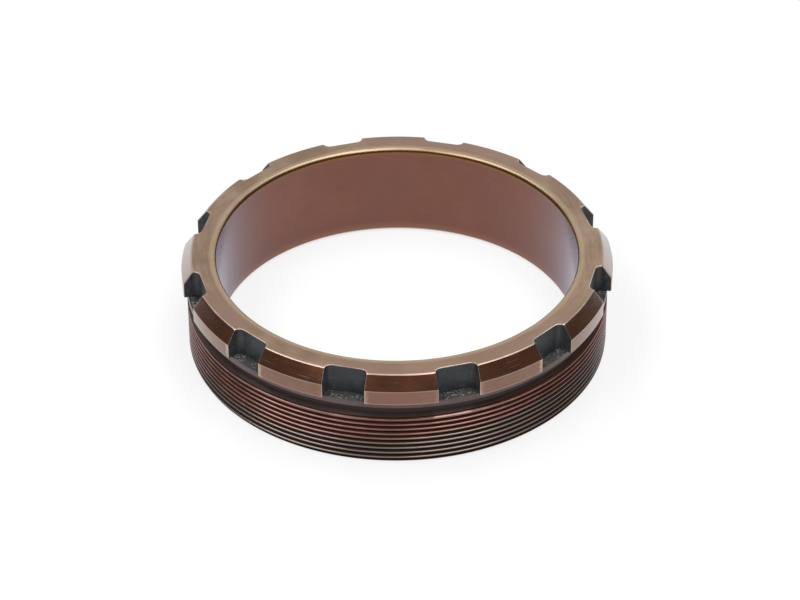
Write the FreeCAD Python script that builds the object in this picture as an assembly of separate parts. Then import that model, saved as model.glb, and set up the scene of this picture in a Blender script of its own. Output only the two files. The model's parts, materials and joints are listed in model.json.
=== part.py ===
# Slotted adjusting nut of a differential: a turned ring, threaded outside below a slotted, chamfered head.
# Millimetres. +Z runs along the nut's axis, and the origin is the centre of its lower, bearing face.
import FreeCAD, Part
import math
import os

# Thread: outside diameter, pitch, and the length from the bearing face up to the relief groove
thread_diameter = 150.0
thread_pitch = 2.0
thread_length = 19.5
lead_chamfer = 1.0

# Relief groove above the thread, sloped on the thread's side, and the plain neck that it leaves under the head
relief_width = 4.0
relief_extra_depth = 0.4
relief_slope = 30.0
neck_height = 2.5

# Head: a collar that stands out a little beyond the neck, with a steep chamfer above and a rounded rim
head_overhang = 1.65
head_height = 10.5
top_chamfer_width = 3.55
top_chamfer_height = 4.8
rim_radius = 1.0

# Bore: a plain through hole, one wall inside the thread's crests, with a rounded upper lip and a chamfered lower edge
wall_thickness = 10.75
bore_lip_radius = 1.55
bore_chamfer = 1.3

# Slots: milled right through the collar from above and just into the neck, for a hook spanner and a lock plate
slot_count = 12
slot_width = 14.7
slot_neck_depth = 0.2
slot_radial_depth = 5.95
slot_corner_radius = 2.4
cutter_overrun = 2.0

# A metric outside thread is this share of its pitch deep
thread_depth = 0.61343 * thread_pitch

thread_radius = thread_diameter / 2
head_radius = thread_radius + head_overhang
bore_radius = thread_radius - wall_thickness
relief_depth = thread_depth + relief_extra_depth
relief_radius = thread_radius - relief_depth
relief_rise = relief_depth * math.tan(math.radians(relief_slope))
relief_top = thread_length + relief_width
head_bottom = relief_top + neck_height
nut_height = head_bottom + head_height
slot_depth = head_height + slot_neck_depth
slot_back_radius = head_radius - slot_radial_depth


def at(radius, height):
    return FreeCAD.Vector(radius, 0, height)


def line(start, end):
    return Part.LineSegment(start, end).toShape()


def short_arc(start, end, centre):
    # The shorter arc from start to end, through the point that lies midway between them
    radius = start.distanceToPoint(centre)
    outward = (start + end) * 0.5 - centre
    middle = centre + outward * (radius / outward.Length)
    return Part.Arc(start, middle, end).toShape()


def chain(points):
    return [line(start, end) for start, end in zip(points, points[1:])]


def rim_arc():
    # Start, end and centre of the rounded rim's arc, which is tangent to the chamfer and to the top face
    corner = at(head_radius - top_chamfer_width, nut_height)
    down_chamfer = at(top_chamfer_width, -top_chamfer_height).normalize()
    half_corner = (math.pi - math.atan2(top_chamfer_height, top_chamfer_width)) / 2
    reach = rim_radius / math.tan(half_corner)
    end = corner - at(reach, 0)
    return corner + down_chamfer * reach, end, end - at(0, rim_radius)


def outside_edges():
    # From the bearing face up the outside, over the thread, the groove, the neck and the head, to the top face
    rim_start, rim_end, rim_centre = rim_arc()
    below_rim = [
        at(bore_radius + bore_chamfer, 0),
        at(thread_radius - lead_chamfer, 0),
        at(thread_radius, lead_chamfer),
        at(thread_radius, thread_length),
        at(relief_radius, thread_length + relief_rise),
        at(relief_radius, relief_top),
        at(thread_radius, relief_top),
        at(thread_radius, head_bottom),
        at(head_radius, head_bottom),
        at(head_radius, nut_height - top_chamfer_height),
        rim_start,
    ]
    top_face = [rim_end, at(bore_radius + bore_lip_radius, nut_height)]
    return chain(below_rim) + [short_arc(rim_start, rim_end, rim_centre)] + chain(top_face)


def bore_edges():
    # From the top face round the lip, down the bore and out over the lower chamfer
    lip_start = at(bore_radius + bore_lip_radius, nut_height)
    lip_end = at(bore_radius, nut_height - bore_lip_radius)
    lip_centre = at(bore_radius + bore_lip_radius, nut_height - bore_lip_radius)
    low = at(bore_radius, bore_chamfer)
    return [
        short_arc(lip_start, lip_end, lip_centre),
        line(lip_end, low),
        line(low, at(bore_radius + bore_chamfer, 0)),
    ]


def turned_blank():
    section = Part.Face(Part.Wire(outside_edges() + bore_edges()))
    return section.revolve(FreeCAD.Vector(0, 0, 0), FreeCAD.Vector(0, 0, 1), 360)


def slot_cutter():
    # One slot along +X: flat floor, flat back wall, parallel sides and rounded inner corners
    length = slot_radial_depth + cutter_overrun
    height = slot_depth + cutter_overrun
    corner = FreeCAD.Vector(slot_back_radius, -slot_width / 2, nut_height - slot_depth)
    block = Part.makeBox(length, slot_width, height, corner)
    inner = [e for e in block.Edges if is_inner_upright(e)]
    return block.makeFillet(slot_corner_radius, inner)


def is_inner_upright(edge):
    box = edge.BoundBox
    return box.ZLength > 1 and box.XMax < slot_back_radius + 0.5 * slot_radial_depth


def slotted_head(blank):
    cutters = []
    for index in range(slot_count):
        cutter = slot_cutter()
        turn = 360 * index / slot_count
        cutter.rotate(FreeCAD.Vector(0, 0, 0), FreeCAD.Vector(0, 0, 1), turn)
        cutters.append(cutter)
    return blank.cut(Part.makeCompound(cutters))


def differential_nut():
    return slotted_head(turned_blank())


nut = differential_nut()
os.makedirs("parts", exist_ok=True)
nut.Solids[0].exportStep("parts/differential_nut.step")
print("solids", len(nut.Solids), "valid", nut.isValid(), "volume mm3", round(nut.Volume, 1))
print("box", nut.BoundBox)
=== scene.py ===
import bmesh
import bpy
import json
import math
from mathutils import Matrix, Vector


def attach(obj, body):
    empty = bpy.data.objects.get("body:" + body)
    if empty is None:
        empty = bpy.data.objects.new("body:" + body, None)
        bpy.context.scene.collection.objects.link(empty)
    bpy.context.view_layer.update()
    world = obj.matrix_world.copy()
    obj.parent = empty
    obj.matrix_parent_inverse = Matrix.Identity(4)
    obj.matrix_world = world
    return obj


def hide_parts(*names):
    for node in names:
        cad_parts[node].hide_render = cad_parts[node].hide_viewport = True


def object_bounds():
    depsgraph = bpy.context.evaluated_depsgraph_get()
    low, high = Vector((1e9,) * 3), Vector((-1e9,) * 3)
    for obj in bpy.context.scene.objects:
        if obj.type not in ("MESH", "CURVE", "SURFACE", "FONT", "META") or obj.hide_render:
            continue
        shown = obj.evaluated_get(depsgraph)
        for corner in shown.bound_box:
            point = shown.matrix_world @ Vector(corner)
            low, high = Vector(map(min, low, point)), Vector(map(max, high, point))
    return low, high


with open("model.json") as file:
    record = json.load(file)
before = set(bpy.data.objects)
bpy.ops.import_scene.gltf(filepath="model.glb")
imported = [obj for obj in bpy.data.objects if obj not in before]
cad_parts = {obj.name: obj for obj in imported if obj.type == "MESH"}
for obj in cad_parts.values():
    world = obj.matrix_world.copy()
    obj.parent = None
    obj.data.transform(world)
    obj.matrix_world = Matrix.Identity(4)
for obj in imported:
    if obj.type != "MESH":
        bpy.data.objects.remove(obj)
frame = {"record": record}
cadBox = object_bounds()
mm = 0.001
slack = 0.01 * mm  # allowed when places are compared
weld = 0.001 * mm  # points closer than this are one
origin = Vector((0, 0, 0))
axis = Vector((0, 0, 1))
mounts = {m["name"]: m for m in frame["record"]["mounts"]}
print("frame loaded, box", [round(v, 4) for v in cadBox[1] - cadBox[0]])

# The nut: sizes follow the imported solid, with the fine thread and the edge breaks added
nut = {
    "threadRadius": mounts["housing_thread"]["dims"]["r_mm"] * mm,
    "boreRadius": mounts["axle_bore"]["dims"]["r_mm"] * mm,
    "height": cadBox[1].z,
    "headRadius": 76.65 * mm,
    "headBottom": 26.0 * mm,
    "threadLength": 19.5 * mm,
    "leadChamfer": 1.0 * mm,
    "reliefRadius": 73.373 * mm,
    "reliefTop": 23.5 * mm,
    "reliefRise": 0.939 * mm,
    "topChamfer": (3.55 * mm, 4.8 * mm),  # width, height
    # rounded corners of the section: radius, segments
    "neckFootRound": (0.15 * mm, 2),
    "bandFootRound": (0.4 * mm, 2),
    "shoulderRound": (0.25 * mm, 4),  # between the band and the chamfer
    "rimRound": (1.0 * mm, 7),  # between the chamfer and the top face
    "lipRadius": 1.55 * mm,
    "lipSegments": 10,
    "boreChamfer": 1.3 * mm,
    "smoothBelow": 28.0,  # degrees between faces that shade as one
}

# Steps of the turned body over one slot pitch: (degrees, steps), so no step ends near a slot wall
turning = [(4.0, 4), (2.4, 1), (17.2, 16), (2.4, 1), (4.0, 4)]

# Faces of the turned body are told apart by how far they tilt up, in degrees
tilts = {
    "top": 85.0,
    "rim": 55.0,
    "chamfer": 20.0,
    "upright": 3.0,
    "overhang": -10.0,
    "bearingFace": -80.0,
    "inward": 0.02,  # share of the normal that makes a face look into the bore
    "neckAbove": 0.2 * mm,  # the foot of the band, which counts with the neck
}

slots = {
    "count": 12,
    "width": 14.7 * mm,
    "depth": 10.7 * mm,
    "backRadius": 70.7 * mm,
    "cornerRadius": 2.4 * mm,
    "cornerSegments": 6,
    "overrun": 3.0 * mm,
    "floorNormal": -0.9,  # the side of the cutter that looks down more than this leaves the floor
    "edgeBreak": 0.2 * mm,
    "breakSegments": 2,
    "breakAbove": 0.2 * mm,  # edges at the very foot of the band stay sharp
    "mergeBelow": 0.03 * mm,  # points that the cut leaves this close together
}

thread = {
    "pitch": 2.0 * mm,
    "crestFlat": 0.36 * mm,
    "crestBreak": 0.2 * mm,
    "breakSpread": 0.03,  # how much wider the groove gets over the depth of the break
    "rootFlat": 0.3 * mm,
    "flankAngle": 30.0,
    "stepsPerTurn": 240,
    "crestPhase": 0.16 * mm,  # height of a crest, past whole pitches, towards the camera
    "startBelow": 1.6 * mm,  # under the bearing face
    "endAbove": 1.1 * mm,  # in the relief, past the threaded length
    "overrun": 0.4 * mm,
    # the last turn of the groove is shallower in one stretch, and breaks more of the crest in another:
    # how much, where in degrees to the camera's right, and how far to either side
    "lastShallower": (0.65 * mm, -20.0, 75.0),
    "lastBreak": (0.4 * mm, 17.0, 16.0),
}

# Camera, found from the photograph: degrees, metres, lens and sensor in mm, pixels of an 800 x 600 image
camera = {
    "azimuth": 14.1,
    "elevation": 36.006,
    "roll": -0.334,
    "distance": 1.2339,
    "lens": 155.05,
    "sensor": 36,
    "clipStart": 0.05,
    "aim": (0, 0, 0.0175),
    "aimPixel": (397.29, 292.95),
    "image": (800, 600),
}
cameraSide = camera["azimuth"] - 90  # the same direction, counted from +X

finishes = [
    "top", "lip", "chamfer", "band", "neck", "bore", "crest", "flank", "groove",
    "slotWall", "slotFloor", "edge", "worn",
]
finishIndex = {name: i for i, name in enumerate(finishes)}


def ringPoint(radius, height):
    return Vector((radius, 0, height))


def arcPoints(centre, radius, start, end, segments):
    # points of an arc in the section plane, angles in degrees above the outward direction
    turn = (end - start) / segments
    angles = [math.radians(start + turn * i) for i in range(segments + 1)]
    return [ringPoint(centre[0] + radius * math.cos(a), centre[1] + radius * math.sin(a)) for a in angles]


def roundedCorner(before, corner, after, radius, segments):
    # the arc that rounds a corner of the section, tangent to both of its sides
    into = (before - corner).normalized()
    out = (after - corner).normalized()
    half = into.angle(out) / 2
    reach = radius / math.tan(half)
    centre = corner + (into + out).normalized() * (radius / math.sin(half))
    first = corner + into * reach - centre
    last = corner + out * reach - centre
    turn = first.angle(last)
    points = []
    for i in range(segments + 1):
        share = i / segments
        weightFirst = math.sin((1 - share) * turn) / math.sin(turn)
        weightLast = math.sin(share * turn) / math.sin(turn)
        points.append(centre + first * weightFirst + last * weightLast)
    return points


def nutSection():
    # from the bearing face up the outside, over the head and down the bore
    chamferWidth, chamferHeight = nut["topChamfer"]
    lip = nut["lipRadius"]
    top = nut["height"]
    threadTop = ringPoint(nut["threadRadius"], nut["threadLength"])
    reliefFoot = ringPoint(nut["reliefRadius"], nut["threadLength"] + nut["reliefRise"])
    reliefEdge = ringPoint(nut["reliefRadius"], nut["reliefTop"])
    neckFoot = ringPoint(nut["threadRadius"], nut["reliefTop"])
    neckTop = ringPoint(nut["threadRadius"], nut["headBottom"])
    bandFoot = ringPoint(nut["headRadius"], nut["headBottom"])
    shoulder = ringPoint(nut["headRadius"], top - chamferHeight)
    rim = ringPoint(nut["headRadius"] - chamferWidth, top)
    lipTop = ringPoint(nut["boreRadius"] + lip, top)
    points = [
        ringPoint(nut["boreRadius"] + nut["boreChamfer"], 0),
        ringPoint(nut["threadRadius"] - nut["leadChamfer"], 0),
        ringPoint(nut["threadRadius"], nut["leadChamfer"]),
        threadTop, reliefFoot, reliefEdge,
    ]
    points += roundedCorner(reliefEdge, neckFoot, neckTop, *nut["neckFootRound"])
    points.append(neckTop)
    points += roundedCorner(neckTop, bandFoot, shoulder, *nut["bandFootRound"])
    points += roundedCorner(bandFoot, shoulder, rim, *nut["shoulderRound"])
    points += roundedCorner(shoulder, rim, lipTop, *nut["rimRound"])
    points += arcPoints((nut["boreRadius"] + lip, top - lip), lip, 90, 180, nut["lipSegments"])
    points.append(ringPoint(nut["boreRadius"], nut["boreChamfer"]))
    return points


def finishOf(face):
    # what part of the turned body a face belongs to, from where it is and where it looks
    middle = face.calc_center_median()
    outward = Vector((middle.x, middle.y, 0))
    tilt = math.degrees(math.asin(max(-1, min(1, face.normal.z))))
    if face.normal.dot(outward) < -tilts["inward"] * outward.length:
        return "lip" if tilt > tilts["upright"] else "bore"
    if tilt < tilts["bearingFace"] and middle.z < nut["leadChamfer"]:
        return "top"
    if middle.z < nut["threadLength"]:
        return "crest"
    if middle.z < nut["reliefTop"] + slack:
        return "groove"
    if middle.z < nut["headBottom"] + tilts["neckAbove"]:
        return "neck" if tilt > tilts["overhang"] else "groove"
    if tilt > tilts["top"]:
        return "top"
    # the rim's upper part and the shoulder take the paler edge finish: partly worn edges, partly a
    # painted highlight
    if tilt > tilts["rim"]:
        return "edge"
    if tilt > tilts["chamfer"]:
        return "chamfer"
    return "edge" if tilt > tilts["upright"] else "band"


def turnedBody():
    bm = bmesh.new()
    section = [bm.verts.new(p) for p in nutSection()]
    edges = [bm.edges.new((a, b)) for a, b in zip(section, section[1:] + section[:1])]
    sweep = section + edges
    for _ in range(slots["count"]):
        for degrees, steps in turning:
            turned = bmesh.ops.spin(
                bm, geom=sweep, cent=origin, axis=axis, angle=math.radians(degrees), steps=steps
            )
            sweep = turned["geom_last"]
    bmesh.ops.remove_doubles(bm, verts=bm.verts, dist=weld)
    bmesh.ops.recalc_face_normals(bm, faces=bm.faces)
    for face in bm.faces:
        face.material_index = finishIndex[finishOf(face)]
    return bm


def isInnerUpright(edge, middle):
    first, last = edge.verts
    return first.co.x < middle and last.co.x < middle and first.co.xy == last.co.xy


def vertsOf(geometry):
    return [g for g in geometry if isinstance(g, bmesh.types.BMVert)]


def slotCutter():
    # one block with two rounded inner corners, repeated all round
    bm = bmesh.new()
    floor = nut["height"] - slots["depth"]
    length = nut["headRadius"] - slots["backRadius"] + slots["overrun"]
    height = slots["depth"] + slots["overrun"]
    bmesh.ops.create_cube(bm, size=1)
    bmesh.ops.scale(bm, vec=(length, slots["width"], height), verts=bm.verts)
    place = Vector((slots["backRadius"] + length / 2, 0, floor + height / 2))
    bmesh.ops.translate(bm, vec=place, verts=bm.verts)
    inner = [e for e in bm.edges if isInnerUpright(e, place.x)]
    bmesh.ops.bevel(
        bm, geom=inner, offset=slots["cornerRadius"], segments=slots["cornerSegments"],
        profile=0.5, affect="EDGES", material=-1,
    )
    for face in bm.faces:
        onFloor = face.normal.z < slots["floorNormal"]
        face.material_index = finishIndex["slotFloor" if onFloor else "slotWall"]
    first = bm.faces[:]
    for i in range(1, slots["count"]):
        copy = bmesh.ops.duplicate(bm, geom=first)["geom"]
        turn = Matrix.Rotation(math.tau * i / slots["count"], 3, axis)
        bmesh.ops.rotate(bm, cent=origin, matrix=turn, verts=vertsOf(copy))
    return bm


def flankSlope():
    return math.tan(math.radians(thread["flankAngle"]))


def grooveSection():
    # from the lower side of the mouth in to the root, and out to the upper side
    slope = flankSlope()
    crestHalf = (thread["pitch"] - thread["crestFlat"]) / 2
    rootHalf = thread["rootFlat"] / 2
    depth = (crestHalf - rootHalf) / slope
    crest = nut["threadRadius"]
    broken = thread["crestBreak"]
    mouth = crestHalf + broken * thread["breakSpread"]
    half = [
        (crest - depth, rootHalf), (crest - broken, crestHalf - broken * slope),
        (crest, mouth), (crest + thread["overrun"], mouth),
    ]
    print("thread depth mm", round(depth / mm, 3))
    return [ringPoint(r, -h) for r, h in reversed(half)] + [ringPoint(r, h) for r, h in half]


def lastTurnChange(name, angle):
    # the change fades out evenly to both sides of its middle
    most, middle, reach = thread[name]
    away = abs((angle - cameraSide - middle + 180) % 360 - 180)
    return most * max(0, 1 - away / reach)


def changeLastTurn(verts, start, startAngle):
    # where the last turn is cut shallower, the crest below it is wider
    pitch = thread["pitch"]
    slope = flankSlope()
    crest = nut["threadRadius"]
    for vert in verts:
        angle = math.degrees(math.atan2(vert.co.y, vert.co.x))
        turned = (angle - startAngle) % 360
        aside = (vert.co.z - start - pitch * turned / 360 + pitch / 2) % pitch - pitch / 2
        radius = vert.co.xy.length
        shallower = lastTurnChange("lastShallower", angle)
        if radius < crest - thread["crestBreak"] - slack:  # at the root
            vert.co.xy *= 1 + shallower / radius
            continue
        vert.co.z -= math.copysign(shallower * slope, aside)
        if aside > 0:  # the upper side has no wider break
            continue
        taken = lastTurnChange("lastBreak", angle)
        if radius > crest - slack:
            vert.co.z -= taken * thread["breakSpread"]
        else:
            vert.co.xy *= 1 - taken / radius
            vert.co.z += taken * slope


def threadCutter():
    # the groove of the thread as one long helical bar, which runs out into the relief
    pitch = thread["pitch"]
    steps = thread["stepsPerTurn"]

    # towards the camera the groove runs half a pitch above a crest
    grooveAtCamera = thread["crestPhase"] + pitch / 2
    end = nut["threadLength"] + thread["endAbove"]
    turns = math.ceil((end + thread["startBelow"]) / pitch)
    start = end - turns * pitch
    startAngle = cameraSide + 360 * (start - grooveAtCamera) / pitch

    bm = bmesh.new()
    verts = [bm.verts.new(p + axis * start) for p in grooveSection()]
    edges = [bm.edges.new((v, w)) for v, w in zip(verts, verts[1:] + verts[:1])]
    turn = Matrix.Rotation(math.radians(startAngle), 3, axis)
    bmesh.ops.rotate(bm, cent=origin, matrix=turn, verts=verts)
    bmesh.ops.spin(
        bm, geom=verts + edges, cent=origin, axis=axis, angle=math.tau, steps=steps,
        dvec=(0, 0, pitch / steps),
    )
    oneTurn = bm.verts[:] + bm.edges[:] + bm.faces[:]
    for i in range(1, turns):
        lastTurn = vertsOf(bmesh.ops.duplicate(bm, geom=oneTurn)["geom"])
        bmesh.ops.translate(bm, vec=(0, 0, pitch * i), verts=lastTurn)
    changeLastTurn(lastTurn, start, startAngle)
    bmesh.ops.remove_doubles(bm, verts=bm.verts, dist=weld)
    bmesh.ops.holes_fill(bm, edges=bm.edges, sides=0)
    bmesh.ops.recalc_face_normals(bm, faces=bm.faces)
    crestFrom = nut["threadRadius"] - thread["crestBreak"] / 2
    for face in bm.faces:
        onCrest = max(v.co.xy.length for v in face.verts) > crestFrom
        face.material_index = finishIndex["crest" if onCrest else "flank"]
    print("thread turns", turns)
    return bm


def asObject(bm, name):
    mesh = bpy.data.meshes.new(name)
    bm.to_mesh(mesh)
    bm.free()
    made = bpy.data.objects.new(name, mesh)
    bpy.context.scene.collection.objects.link(made)
    return made


def cutAway(body, cutterMesh):
    cutter = asObject(cutterMesh, "cutter")
    cut = body.modifiers.new("cut", "BOOLEAN")
    cut.operation = "DIFFERENCE"
    cut.solver = "EXACT"
    cut.object = cutter
    seen = bpy.context.evaluated_depsgraph_get()
    evaluated = body.evaluated_get(seen)
    result = bpy.data.meshes.new_from_object(evaluated, preserve_all_data_layers=True, depsgraph=seen)
    body.modifiers.clear()
    body.data = result
    bpy.data.objects.remove(cutter)


def breakSlotEdges(body):
    # the outline of each slot on the top face, the chamfer and the band
    bm = bmesh.new()
    bm.from_mesh(body.data)
    bmesh.ops.remove_doubles(bm, verts=bm.verts, dist=slots["mergeBelow"])
    slotFaces = {finishIndex["slotWall"], finishIndex["slotFloor"]}
    lowest = nut["headBottom"] - slack
    sharp = []
    for edge in bm.edges:
        kinds = {f.material_index for f in edge.link_faces}
        heights = [v.co.z for v in edge.verts]
        onHead = min(heights) > lowest and max(heights) > lowest + slots["breakAbove"]
        if onHead and edge.is_convex and len(kinds & slotFaces) == 1 and kinds - slotFaces:
            sharp.append(edge)
    broken = bmesh.ops.bevel(
        bm, geom=sharp, offset=slots["edgeBreak"], segments=slots["breakSegments"],
        profile=0.5, affect="EDGES", material=-1, clamp_overlap=False,
    )
    for face in broken["faces"]:
        face.material_index = finishIndex["worn"]
    bm.to_mesh(body.data)
    bm.free()
    print("slot edges broken:", len(sharp))


nutBody = asObject(turnedBody(), "differentialNut")
cutAway(nutBody, slotCutter())
breakSlotEdges(nutBody)
cutAway(nutBody, threadCutter())
nutBody.data.shade_smooth()
nutBody.data.set_sharp_from_angle(angle=math.radians(nut["smoothBelow"]))
weighted = nutBody.modifiers.new("weightedNormals", "WEIGHTED_NORMAL")
weighted.keep_sharp = True
print("nut faces", len(nutBody.data.polygons))


# Finishes: one browned steel, lighter or darker by how each surface was cut and worn, and in places by
# painted highlights and painted reflections, noted where they stand.
# Colours run from deep to pale along the mottling, and drift is a second tone in large patches.
looks = {
    "top": {
        "base": (0.283, 0.188, 0.120), "pale": (0.36, 0.252, 0.174), "deep": (0.205, 0.125, 0.075),
        "drift": (0.192, 0.116, 0.070), "rough": (0.28, 0.40), "streaks": 0.45, "coat": 0.3,
        # golden towards the lip on the top face: a painted highlight, the lip's highlight spread onto the
        # face
        "slotWear": 0.3 * mm, "wearShare": 0.3, "paintedLipHighlight": (0.38, 0.265, 0.17),
        "blush": (0.272, 0.168, 0.119),
    },
    "lip": {
        "base": (0.352, 0.262, 0.172), "pale": (0.405, 0.313, 0.216), "deep": (0.295, 0.207, 0.124),
        # the lip's lower part darker and more golden: a painted reflection of the dark surroundings
        "rough": (0.28, 0.38), "streaks": 0.4, "coat": 0.3, "paintedDarkReflection": (0.25, 0.115, 0.036),
    },
    "chamfer": {
        "base": (0.29, 0.104, 0.046), "pale": (0.335, 0.132, 0.063), "deep": (0.24, 0.081, 0.034),
        "drift": (0.29, 0.094, 0.036), "rough": (0.18, 0.28), "streaks": 0.35, "coat": 1.0,
        "scratched": True, "slotWear": 0.25 * mm, "wearShare": 0.4,
        "edgeTint": (0.7, 0.9, 1.0), "glancingIor": 3.5,
    },
    "band": {
        "base": (0.195, 0.096, 0.057), "pale": (0.245, 0.132, 0.087), "deep": (0.16, 0.074, 0.042),
        "drift": (0.19, 0.084, 0.05), "rough": (0.22, 0.34), "streaks": 0.5, "coat": 0.85,
        # paler just below the shoulder, a painted highlight, and paler above the band's foot
        "slotWear": 1.9 * mm, "wearShare": 0.7, "paintedShoulderHighlightPaleFoot": (0.30, 0.205, 0.17),
    },
    "neck": {
        "base": (0.120, 0.083, 0.080), "pale": (0.166, 0.121, 0.117), "deep": (0.082, 0.055, 0.052),
        "rough": (0.32, 0.46), "streaks": 0.4, "coat": 0.2,
    },
    "bore": {
        "base": (0.172, 0.056, 0.033), "pale": (0.192, 0.067, 0.042), "deep": (0.150, 0.046, 0.027),
        "drift": (0.150, 0.055, 0.038), "rough": (0.22, 0.28), "streaks": 0.5, "coat": 0.75,
        # golden at the top of the bore, just under the lip: a painted reflection
        "edgeTint": (0.78, 0.84, 1.0), "footTone": (0.24, 0.098, 0.055), "paintedGoldenReflection": (0.19, 0.07, 0.022),
    },
    "crest": {
        "base": (0.205, 0.118, 0.099), "pale": (0.315, 0.20, 0.177), "deep": (0.135, 0.068, 0.056),
        "rough": (0.15, 0.25), "streaks": 0.6, "coat": 0.2, "edgeTint": (0.8, 0.76, 0.8),
        "lowTone": (0.165, 0.150, 0.131),
    },
    "flank": {
        "base": (0.106, 0.027, 0.014), "pale": (0.14, 0.038, 0.022), "deep": (0.077, 0.018, 0.009),
        "rough": (0.45, 0.6), "streaks": 0.4, "metal": 0.0, "specular": 0.15, "coat": 0.0,
        "lowTone": (0.041, 0.029, 0.020),
    },
    "groove": {
        "base": (0.057, 0.035, 0.029), "pale": (0.074, 0.046, 0.039), "deep": (0.044, 0.027, 0.022),
        "rough": (0.4, 0.55), "streaks": 0.15, "metal": 0.0, "specular": 0.32, "coat": 0.0,
    },
    "slotWall": {
        "base": (0.064, 0.067, 0.073), "pale": (0.15, 0.153, 0.16), "deep": (0.024, 0.026, 0.030),
        "rough": (0.4, 0.55), "metal": 0.0, "specular": 0.4, "coat": 0.0, "grain": 0.4,
    },
    "slotFloor": {
        "base": (0.066, 0.064, 0.065), "pale": (0.125, 0.12, 0.12), "deep": (0.030, 0.029, 0.031),
        "rough": (0.45, 0.7), "metal": 0.0, "specular": 0.35, "coat": 0.0, "grain": 0.7,
        "specks": (0.33, 0.32, 0.315),
    },
    # paler on the rim and the shoulder: partly worn edges, partly a painted highlight
    "edge": {
        "base": (0.37, 0.29, 0.24), "pale": (0.48, 0.39, 0.33), "deep": (0.28, 0.205, 0.16),
        "rough": (0.25, 0.38), "streaks": 0.3, "coat": 0.3,
    },
    "worn": {
        "base": (0.53, 0.43, 0.365), "pale": (0.75, 0.65, 0.57), "deep": (0.28, 0.19, 0.145),
        "rough": (0.25, 0.38), "streaks": 0.3, "coat": 0.3,
    },
}
# What a look has where it says nothing else
plainSteel = {"metal": 1.0, "specular": 0.5, "edgeTint": (1, 1, 1)}

# Bare metal, in scratches and beside the slots
wornColour = (0.58, 0.43, 0.33)

# Oil film: its gloss grows between the two glancing shares, where a look asks for that
oilFilm = {"ior": 1.5, "roughness": 0.2, "glancing": (0.3, 0.7)}

# Mottling: how far along it each colour stands, and the stretch that runs from smooth to rough
mottling = {"deepAt": 0.32, "baseAt": 0.5, "paleAt": 0.70, "roughening": (0.3, 0.7)}

# Noises: scale, detail, roughness
noises = {
    "mottle": (85, 5, 0.6),
    "milledMottle": (150, 5, 0.6),
    "streaks": (900, 4, 0.6),
    "grain": (900, 4, 0.65),
    "drift": (38, 2, 0.5),
    "blush": (17, 1, 0.5),
    "specks": (1150, 2, 0.5),
    "speckPatches": (240, 2, 0.5),
    "rubbed": (700, 4, 0.75),
    "rubbedPatches": (75, 2, 0.5),
}

# Where a noise starts to show as patches, and where they are full
patchRange = {
    "drift": (0.42, 0.62),
    "blush": (0.44, 0.60),
    "specks": (0.52, 0.68),
    "speckPatches": (0.38, 0.54),
    "rubbedPatches": (0.42, 0.62),
}

# Most of a second colour that shows
tintShare = {"drift": 0.7, "blush": 0.7, "lowTone": 0.75, "paintedShoulderHighlightPaleFoot": 0.7}

# Tones along the height or the radius: the place where one starts, and where it is full
boreTop = nut["height"] - nut["lipRadius"]
lipEdge = nut["boreRadius"] + nut["lipRadius"]
toneRuns = {
    "footTone": ("height", 5 * mm, 0.5 * mm),
    # the top of the bore under the lip: a painted reflection
    "paintedGoldenReflection": ("height", boreTop - 1.4 * mm, boreTop - 0.2 * mm),
    # the lip's lower part: a painted dark reflection
    "paintedDarkReflection": ("height", nut["height"] - 0.25 * mm, nut["height"] - 0.75 * mm),
    # the top face beside the lip: a painted highlight
    "paintedLipHighlight": ("radius", lipEdge + 1.5 * mm, lipEdge),
}

# Margins of the band, below the shoulder and above its foot, made paler: below the shoulder a painted
# highlight
bandMargins = {"shoulder": (0.6 * mm, 0.15 * mm), "foot": (0.9 * mm, 0.3 * mm)}

# The lower turns of the thread are greyer, and more of them towards +X
palerTurns = {"from": 11.5 * mm, "full": 10.1 * mm, "lean": 0.05, "wander": 3 * mm}

# Wear beside the slots, in shares of its width: the reach of the noise, and where wear starts and is full
slotWear = {"reach": 1.9, "rise": (-0.1, 0.9), "least": 0.1}

# The lathe's run: pattern length for a radian, and how much height counts beside radius
lathe = {"runLength": 9 * mm, "heightShare": 1.7}

# Long thin scratches: a cell's length along and width across, the share of bare cells, size and strength
scratches = {"cell": (15 * mm, 0.75 * mm), "bare": 0.62, "reach": 0.2, "softness": 0.03, "share": 0.55}

# Fine bumps of each texture: strength, height
fineBumps = {"streaks": (0.12, 0.02 * mm), "grain": (0.5, 0.06 * mm)}

# Sockets of a Mix node: first value, second value, result
mixSockets = {"FLOAT": (2, 3, 0), "RGBA": (6, 7, 2)}


def node(tree, kind, **settings):
    made = tree.nodes.new("ShaderNode" + kind)
    for name, value in settings.items():
        setattr(made, name, value)
    return made


def feed(tree, socket, value):
    # a link where the value comes from a node, else a plain setting
    if isinstance(value, bpy.types.NodeSocket):
        tree.links.new(value, socket)
    elif socket.type == "RGBA" and len(value) == 3:
        socket.default_value = (*value, 1)
    else:
        socket.default_value = value


def calc(tree, operation, *values):
    made = node(tree, "Math", operation=operation)
    for socket, value in zip(made.inputs, values):
        feed(tree, socket, value)
    return made.outputs[0]


def ranged(tree, value, low, high, lowest=0.0, highest=1.0):
    made = node(tree, "MapRange", interpolation_type="SMOOTHSTEP")
    for name, setting in zip(
        ("Value", "From Min", "From Max", "To Min", "To Max"), (value, low, high, lowest, highest)
    ):
        feed(tree, made.inputs[name], setting)
    return made.outputs["Result"]


def noise(tree, where, name):
    made = node(tree, "TexNoise")
    feed(tree, made.inputs["Vector"], where)
    for socket, value in zip(("Scale", "Detail", "Roughness"), noises[name]):
        made.inputs[socket].default_value = value
    return made.outputs["Fac"]


def patches(tree, places, name, least=0.0, most=1.0):
    return ranged(tree, noise(tree, places["point"], name), *patchRange[name], least, most)


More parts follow.
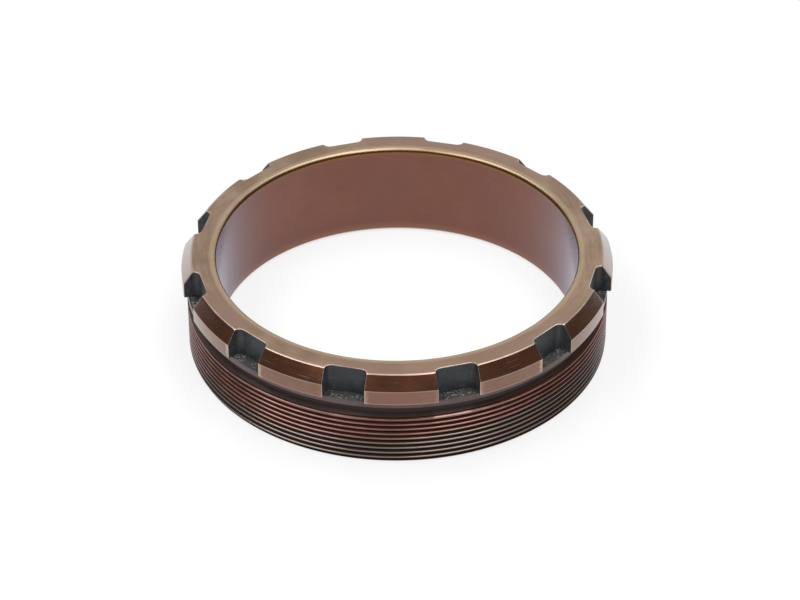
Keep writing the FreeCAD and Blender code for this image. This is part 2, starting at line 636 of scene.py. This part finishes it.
def blend(tree, share, first, second, kind="RGBA"):
    made = node(tree, "Mix", data_type=kind)
    firstSocket, secondSocket, result = mixSockets[kind]
    feed(tree, made.inputs[0], share)
    feed(tree, made.inputs[firstSocket], first)
    feed(tree, made.inputs[secondSocket], second)
    return made.outputs[result]


def emptyMaterial(name):
    made = bpy.data.materials.new(name)
    made.use_nodes = True
    made.node_tree.nodes.clear()
    return made


def showSurface(tree, surface):
    output = node(tree, "OutputMaterial")
    tree.links.new(surface, output.inputs["Surface"])


def lathePlaces(tree):
    # places on the turned body: the point itself, its radius and height, how far it lies along and across
    # the turning, a point that runs with the lathe, and the distance from the nearest slot
    point = node(tree, "TexCoord").outputs["Object"]
    apart = node(tree, "SeparateXYZ")
    tree.links.new(point, apart.inputs["Vector"])
    x, y, z = apart.outputs
    squares = calc(tree, "MULTIPLY_ADD", x, x, calc(tree, "MULTIPLY", y, y))
    radius = calc(tree, "SQRT", squares)
    angle = calc(tree, "ARCTAN2", y, x)
    turned = calc(tree, "ABSOLUTE", angle)
    across = calc(tree, "MULTIPLY_ADD", z, lathe["heightShare"], radius)
    run = node(tree, "CombineXYZ")
    feed(tree, run.inputs["X"], calc(tree, "MULTIPLY", turned, lathe["runLength"]))
    feed(tree, run.inputs["Y"], across)
    folded = calc(tree, "PINGPONG", angle, math.pi / slots["count"])
    aside = calc(tree, "MULTIPLY", radius, calc(tree, "SINE", folded))
    outward = calc(tree, "MULTIPLY", radius, calc(tree, "COSINE", folded))
    fromSide = calc(tree, "SUBTRACT", aside, slots["width"] / 2)
    fromSlot = calc(tree, "MAXIMUM", fromSide, calc(tree, "SUBTRACT", slots["backRadius"], outward))
    return {
        "point": point, "radius": radius, "height": z, "side": x, "turned": turned, "across": across,
        "run": run.outputs["Vector"], "fromSlot": fromSlot,
    }


def scratchMarks(tree, places):
    # a few dashes along the turning: each sits in the middle of a cell, and most cells have none
    cellPlace = node(tree, "CombineXYZ")
    cellLength, cellWidth = scratches["cell"]
    cellsAlong = calc(tree, "MULTIPLY", places["turned"], nut["headRadius"] / cellLength)
    cellsAcross = calc(tree, "DIVIDE", places["across"], cellWidth)
    feed(tree, cellPlace.inputs["X"], cellsAlong)
    feed(tree, cellPlace.inputs["Y"], cellsAcross)
    cells = node(tree, "TexVoronoi", voronoi_dimensions="2D", feature="F1")
    cells.inputs["Scale"].default_value = 1.0
    feed(tree, cells.inputs["Vector"], cellPlace.outputs["Vector"])
    chance = node(tree, "SeparateColor")
    tree.links.new(cells.outputs["Color"], chance.inputs["Color"])
    reach = ranged(tree, chance.outputs[0], scratches["bare"], 1.0, 0.0, scratches["reach"])
    inside = calc(tree, "SUBTRACT", reach, cells.outputs["Distance"])
    return calc(tree, "MULTIPLY", ranged(tree, inside, 0.0, scratches["softness"]), scratches["share"])


def slotRub(tree, places, look):
    # rubbed bright beside the slots
    width = look["slotWear"]
    rub = calc(tree, "MULTIPLY", noise(tree, places["point"], "rubbed"), slotWear["reach"] * width)
    start, full = (share * width for share in slotWear["rise"])
    near = ranged(tree, calc(tree, "SUBTRACT", rub, places["fromSlot"]), start, full)
    here = patches(tree, places, "rubbedPatches", slotWear["least"], look["wearShare"])
    return calc(tree, "MULTIPLY", near, here)


# paler margins of the band: below the shoulder a painted highlight, above the foot a paler tone
def bandMarginShare(tree, places):
    shoulder = nut["height"] - nut["topChamfer"][1]
    start, full = bandMargins["shoulder"]
    above = ranged(tree, places["height"], shoulder - start, shoulder - full)
    start, full = bandMargins["foot"]
    below = ranged(tree, places["height"], nut["headBottom"] + start, nut["headBottom"] + full)
    return calc(tree, "MULTIPLY", calc(tree, "MAXIMUM", above, below), tintShare["paintedShoulderHighlightPaleFoot"])


def mottledColour(tree, mottled, look):
    made = node(tree, "ValToRGB")
    ramp = made.color_ramp
    ramp.elements[0].position = mottling["deepAt"]
    ramp.elements[0].color = (*look["deep"], 1)
    ramp.elements[1].position = mottling["paleAt"]
    ramp.elements[1].color = (*look["pale"], 1)
    middle = ramp.elements.new(mottling["baseAt"])
    middle.color = (*look["base"], 1)
    tree.links.new(mottled, made.inputs["Fac"])
    return made.outputs["Color"]


def tonedColour(tree, places, mottle, colour, look):
    # the tones that a look has over its mottling, from the widest to the finest
    if "drift" in look:
        share = calc(tree, "MULTIPLY", patches(tree, places, "drift"), tintShare["drift"])
        colour = blend(tree, share, colour, look["drift"])
    if "blush" in look:
        share = patches(tree, places, "blush", 0.0, tintShare["blush"])
        colour = blend(tree, share, colour, look["blush"])
    # tones along the height or the radius: on the top face beside the lip a painted highlight, on and
    # under the lip painted reflections
    for name, (measure, start, full) in toneRuns.items():
        if name in look:
            colour = blend(tree, ranged(tree, places[measure], start, full), colour, look[name])
    if "lowTone" in look:
        leaning = calc(tree, "MULTIPLY_ADD", places["side"], -palerTurns["lean"], places["height"])
        wander = calc(tree, "MULTIPLY_ADD", mottle, palerTurns["wander"], leaning)
        low = ranged(tree, wander, palerTurns["from"], palerTurns["full"])
        tone = blend(tree, tintShare["lowTone"], colour, look["lowTone"])
        colour = blend(tree, low, colour, tone)
    # paler band margins: a painted highlight below the shoulder, and a paler foot
    if "paintedShoulderHighlightPaleFoot" in look:
        colour = blend(tree, bandMarginShare(tree, places), colour, look["paintedShoulderHighlightPaleFoot"])
    if "specks" in look:
        bright = patches(tree, places, "specks")
        share = calc(tree, "MULTIPLY", bright, patches(tree, places, "speckPatches"))
        colour = blend(tree, share, colour, look["specks"])
    if "scratched" in look:
        colour = blend(tree, scratchMarks(tree, places), colour, wornColour)
    if "slotWear" in look:
        colour = blend(tree, slotRub(tree, places, look), colour, wornColour)
    return colour


def steelShader(tree, look):
    # what is the same all over the surface, and the film's gloss
    shader = node(tree, "BsdfPrincipled")
    settings = {
        "Metallic": look["metal"],
        "Specular IOR Level": look["specular"],
        "Specular Tint": look["edgeTint"],
        "Coat Weight": look["coat"],
        "Coat IOR": oilFilm["ior"],
        "Coat Roughness": oilFilm["roughness"],
    }
    for name, value in settings.items():
        feed(tree, shader.inputs[name], value)
    if "glancingIor" in look:
        # the oil film has more gloss at a glancing angle
        facing = node(tree, "LayerWeight").outputs["Facing"]
        gloss = ranged(tree, facing, *oilFilm["glancing"], oilFilm["ior"], look["glancingIor"])
        tree.links.new(gloss, shader.inputs["Coat IOR"])
    return shader


def brownedFinish(name, look):
    made = emptyMaterial(name)
    tree = made.node_tree
    shader = steelShader(tree, look)
    showSurface(tree, shader.outputs["BSDF"])
    places = lathePlaces(tree)

    # milled surfaces are grainy, turned ones streaked along the lathe's run
    if "grain" in look:
        texture, mottle = "grain", noise(tree, places["point"], "milledMottle")
        detail = noise(tree, places["point"], "grain")
    else:
        texture, mottle = "streaks", noise(tree, places["point"], "mottle")
        detail = noise(tree, places["run"], "streaks")
    mottled = blend(tree, look[texture], mottle, detail, "FLOAT")
    colour = tonedColour(tree, places, mottle, mottledColour(tree, mottled, look), look)
    rough = ranged(tree, mottled, *mottling["roughening"], *look["rough"])
    tree.links.new(colour, shader.inputs["Base Color"])
    tree.links.new(rough, shader.inputs["Roughness"])

    bump = node(tree, "Bump")
    for socket, value in zip(("Strength", "Distance"), fineBumps[texture]):
        bump.inputs[socket].default_value = value
    tree.links.new(detail, bump.inputs["Height"])
    tree.links.new(bump.outputs["Normal"], shader.inputs["Normal"])
    return made


for name in finishes:
    nutBody.data.materials.append(brownedFinish(name, {**plainSteel, **looks[name]}))
print("finishes made:", len(finishes))

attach(nutBody, "root")
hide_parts("differential_nut")


# Studio: a white floor and white surroundings, grey card all round but behind, two large softboxes above
studio = {
    "floorSize": 8.0,
    "floorColour": (0.32, 0.32, 0.32),
    "floorFill": 0.75,
    "skyColour": (1, 1, 1),
    "ambient": 0.2,
    "cardRadius": 1.7,
    "cardHeight": 2.2,
    "cardSweep": 252.0,
    "cardSteps": 48,
    "cardShade": 0.16,
    "lampHeight": 1.2,
    "lampLength": 1.8,  # towards the camera
    "lampForward": 0.25,
    "lampRadiance": 3.0,
    # their span to the right of the axis
    "lamps": {"rightLamp": (0.07, 0.58), "leftLamp": (-0.94, -0.38)},
}


def seenDirectly(tree):
    # 1 for the rays that show the surroundings as a background, also in metal and glass
    path = node(tree, "LightPath")
    either = calc(tree, "MAXIMUM", path.outputs["Is Camera Ray"], path.outputs["Is Glossy Ray"])
    return calc(tree, "MAXIMUM", either, path.outputs["Is Transmission Ray"])


def makeFloor():
    bm = bmesh.new()
    bmesh.ops.create_grid(bm, x_segments=1, y_segments=1, size=studio["floorSize"] / 2)
    floor = asObject(bm, "floor")
    material = emptyMaterial("whiteFloor")
    tree = material.node_tree
    paint = node(tree, "BsdfDiffuse")
    feed(tree, paint.inputs["Color"], studio["floorColour"])
    glow = node(tree, "Emission")
    fill = calc(tree, "MULTIPLY", seenDirectly(tree), studio["floorFill"])
    feed(tree, glow.inputs["Strength"], fill)
    both = node(tree, "AddShader")
    tree.links.new(paint.outputs[0], both.inputs[0])
    tree.links.new(glow.outputs[0], both.inputs[1])
    showSurface(tree, both.outputs[0])
    floor.data.materials.append(material)


def makeWorld():
    world = bpy.data.worlds.new("whiteStudio")
    bpy.context.scene.world = world
    world.use_nodes = True
    tree = world.node_tree
    back = tree.nodes["Background"]
    feed(tree, back.inputs["Color"], studio["skyColour"])
    level = ranged(tree, seenDirectly(tree), 0.0, 1.0, studio["ambient"], 1.0)
    feed(tree, back.inputs["Strength"], level)


def makeGreyCard():
    # a standing grey card round the camera's side, which only the metal sees
    bm = bmesh.new()
    heights = (0, studio["cardHeight"])
    ends = [bm.verts.new(ringPoint(studio["cardRadius"], height)) for height in heights]
    upright = bm.edges.new(ends)
    sweep = math.radians(studio["cardSweep"])
    bmesh.ops.spin(
        bm, geom=ends + [upright], cent=origin, axis=axis, angle=sweep, steps=studio["cardSteps"]
    )
    start = math.radians(cameraSide) - sweep / 2
    bmesh.ops.rotate(bm, cent=origin, matrix=Matrix.Rotation(start, 3, axis), verts=bm.verts)
    card = asObject(bm, "greyCard")
    material = emptyMaterial("greyCard")
    tree = material.node_tree
    glow = node(tree, "Emission")
    feed(tree, glow.inputs["Strength"], studio["cardShade"])
    showSurface(tree, glow.outputs[0])
    card.data.materials.append(material)
    card.visible_camera = False
    card.visible_diffuse = False
    card.visible_shadow = False


def makeLamp(name, span):
    # a softbox that looks straight down, its length in line with the camera
    data = bpy.data.lights.new(name, "AREA")
    data.shape = "RECTANGLE"
    data.size = span[1] - span[0]
    data.size_y = studio["lampLength"]
    data.energy = studio["lampRadiance"] * math.pi * data.size * data.size_y
    lamp = bpy.data.objects.new(name, data)
    turn = Matrix.Rotation(math.radians(camera["azimuth"]), 4, "Z")
    place = Vector(((span[0] + span[1]) / 2, -studio["lampForward"], studio["lampHeight"]))
    lamp.matrix_world = turn @ Matrix.Translation(place)
    lamp.visible_camera = False
    bpy.context.scene.collection.objects.link(lamp)


def makeCamera():
    data = bpy.data.cameras.new("camera")
    data.sensor_width = camera["sensor"]
    data.lens = camera["lens"]
    width, height = camera["image"]
    data.shift_x = (width / 2 - camera["aimPixel"][0]) / width
    data.shift_y = (camera["aimPixel"][1] - height / 2) / width
    data.clip_start = camera["clipStart"]
    eye = bpy.data.objects.new("camera", data)
    around = math.radians(camera["azimuth"])
    up = math.radians(camera["elevation"])
    back = Vector((math.sin(around) * math.cos(up), -math.cos(around) * math.cos(up), math.sin(up)))
    turn = (-back).to_track_quat("-Z", "Y").to_matrix().to_4x4()
    roll = Matrix.Rotation(math.radians(camera["roll"]), 4, "Z")
    eye.matrix_world = Matrix.Translation(Vector(camera["aim"]) + back * camera["distance"]) @ turn @ roll
    bpy.context.scene.collection.objects.link(eye)
    bpy.context.scene.camera = eye


makeFloor()
makeWorld()
makeGreyCard()
for name, span in studio["lamps"].items():
    makeLamp(name, span)
makeCamera()
bpy.context.scene.view_settings.view_transform = "Standard"
print("studio ready")
